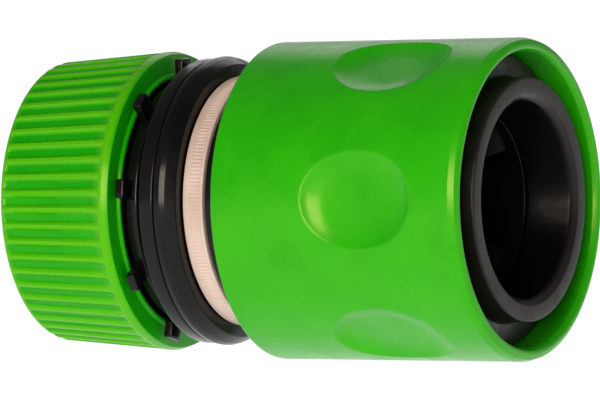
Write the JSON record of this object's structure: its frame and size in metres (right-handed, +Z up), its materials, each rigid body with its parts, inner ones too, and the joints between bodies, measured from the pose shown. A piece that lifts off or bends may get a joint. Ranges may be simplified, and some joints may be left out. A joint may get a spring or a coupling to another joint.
{
  "type": "garden hose quick connector",
  "caption": "Push-on garden-hose connector: ribbed compression nut clamps the hose at one end, spring-loaded release sleeve locks onto a plug at the other.",
  "frame": {"origin": "on the surface the fitting lies on, under the middle of its bounding box", "axes": "+X along the fitting's axis, from the hose end towards the socket mouth; +Z up, the fitting lying on its side"},
  "size_m": [0.055, 0.0332, 0.0332],
  "materials": {
    "green_abs": "glossy moulded ABS, saturated grass green",
    "black_abs": "glossy moulded black ABS",
    "pale_nylon": "satin beige-pink nylon",
    "black_acetal": "satin black acetal",
    "spring_steel": "bright zinc-plated spring wire",
    "black_rubber": "matt black nitrile rubber"
  },
  "bodies": {
    "main_body": {"hose_tail": "black_abs", "socket_body": "black_abs", "body_o_ring": "black_rubber", "guide_ring": "pale_nylon", "nose_ring": "black_abs", "release_spring": "spring_steel"},
    "release_sleeve": {"release_sleeve": "green_abs"},
    "grip_collet": {"grip_collet": "black_abs"},
    "clamp_nut": {"clamp_nut": "green_abs"},
    "claw_1": {"claw_1": "black_acetal"},
    "claw_2": {"claw_2": "black_acetal"},
    "claw_3": {"claw_3": "black_acetal"},
    "claw_4": {"claw_4": "black_acetal"},
    "collet_finger_1": {"collet_finger_1": "black_abs"},
    "collet_finger_2": {"collet_finger_2": "black_abs"},
    "collet_finger_3": {"collet_finger_3": "black_abs"},
    "collet_finger_4": {"collet_finger_4": "black_abs"},
    "collet_finger_5": {"collet_finger_5": "black_abs"},
    "collet_finger_6": {"collet_finger_6": "black_abs"},
    "collet_finger_7": {"collet_finger_7": "black_abs"},
    "collet_finger_8": {"collet_finger_8": "black_abs"}
  },
  "joints": [
    {"name": "sleeve_slide", "type": "slide", "parent": "main_body", "child": "release_sleeve", "axis": [-1, 0, 0], "range_m": [0, 0.0045], "stiffness_N_per_m": 1000, "springref_m": -0.005, "deforming": ["release_spring"]},
    {"name": "nut_turn", "type": "hinge", "parent": "grip_collet", "child": "clamp_nut", "pos_m": [-0.02075, 0, 0.01661], "axis": [-1, 0, 0], "range_deg": [0, 540]},
    {"name": "collet_slide", "type": "slide", "parent": "main_body", "child": "grip_collet", "axis": [-1, 0, 0], "range_m": [0, 0.0046]},
    {"name": "claw_1_slide", "type": "slide", "parent": "main_body", "child": "claw_1", "axis": [0, 0.7071, -0.7071], "range_m": [0, 0.001]},
    {"name": "claw_2_slide", "type": "slide", "parent": "main_body", "child": "claw_2", "axis": [0, 0.7071, 0.7071], "range_m": [0, 0.001]},
    {"name": "claw_3_slide", "type": "slide", "parent": "main_body", "child": "claw_3", "axis": [0, -0.7071, 0.7071], "range_m": [0, 0.001]},
    {"name": "claw_4_slide", "type": "slide", "parent": "main_body", "child": "claw_4", "axis": [0, -0.7071, -0.7071], "range_m": [0, 0.001]},
    {"name": "collet_finger_1_flex", "type": "hinge", "parent": "grip_collet", "child": "collet_finger_1", "pos_m": [-0.02375, -0.00976, 0.02169], "axis": [0, -0.4617, -0.887], "range_deg": [0, 5.1]},
    {"name": "collet_finger_2_flex", "type": "hinge", "parent": "grip_collet", "child": "collet_finger_2", "pos_m": [-0.02375, -0.00331, 0.0271], "axis": [0, -0.9537, -0.3007], "range_deg": [0, 5.1]},
    {"name": "collet_finger_3_flex", "type": "hinge", "parent": "grip_collet", "child": "collet_finger_3", "pos_m": [-0.02375, 0.00508, 0.02636], "axis": [0, -0.887, 0.4617], "range_deg": [0, 5.1]},
    {"name": "collet_finger_4_flex", "type": "hinge", "parent": "grip_collet", "child": "collet_finger_4", "pos_m": [-0.02375, 0.01049, 0.01991], "axis": [0, -0.3007, 0.9537], "range_deg": [0, 5.1]},
    {"name": "collet_finger_5_flex", "type": "hinge", "parent": "grip_collet", "child": "collet_finger_5", "pos_m": [-0.02375, 0.00976, 0.01153], "axis": [0, 0.4617, 0.887], "range_deg": [0, 5.1]},
    {"name": "collet_finger_6_flex", "type": "hinge", "parent": "grip_collet", "child": "collet_finger_6", "pos_m": [-0.02375, 0.00331, 0.00612], "axis": [0, 0.9537, 0.3007], "range_deg": [0, 5.1]},
    {"name": "collet_finger_7_flex", "type": "hinge", "parent": "grip_collet", "child": "collet_finger_7", "pos_m": [-0.02375, -0.00508, 0.00685], "axis": [0, 0.887, -0.4617], "range_deg": [0, 5.1]},
    {"name": "collet_finger_8_flex", "type": "hinge", "parent": "grip_collet", "child": "collet_finger_8", "pos_m": [-0.02375, -0.01049, 0.0133], "axis": [0, 0.3007, -0.9537], "range_deg": [0, 5.1]}
  ],
  "couplings": [
    {"joint": "collet_slide", "follows": "nut_turn", "m_per_rad": 0.00047746},
    {"joint": "claw_1_slide", "follows": "sleeve_slide", "ratio": 0.22},
    {"joint": "claw_2_slide", "follows": "sleeve_slide", "ratio": 0.22},
    {"joint": "claw_3_slide", "follows": "sleeve_slide", "ratio": 0.22},
    {"joint": "claw_4_slide", "follows": "sleeve_slide", "ratio": 0.22},
    {"joint": "collet_finger_1_flex", "follows": "nut_turn", "ratio": 0.0092593},
    {"joint": "collet_finger_2_flex", "follows": "nut_turn", "ratio": 0.0092593},
    {"joint": "collet_finger_3_flex", "follows": "nut_turn", "ratio": 0.0092593},
    {"joint": "collet_finger_4_flex", "follows": "nut_turn", "ratio": 0.0092593},
    {"joint": "collet_finger_5_flex", "follows": "nut_turn", "ratio": 0.0092593},
    {"joint": "collet_finger_6_flex", "follows": "nut_turn", "ratio": 0.0092593},
    {"joint": "collet_finger_7_flex", "follows": "nut_turn", "ratio": 0.0092593},
    {"joint": "collet_finger_8_flex", "follows": "nut_turn", "ratio": 0.0092593}
  ]
}
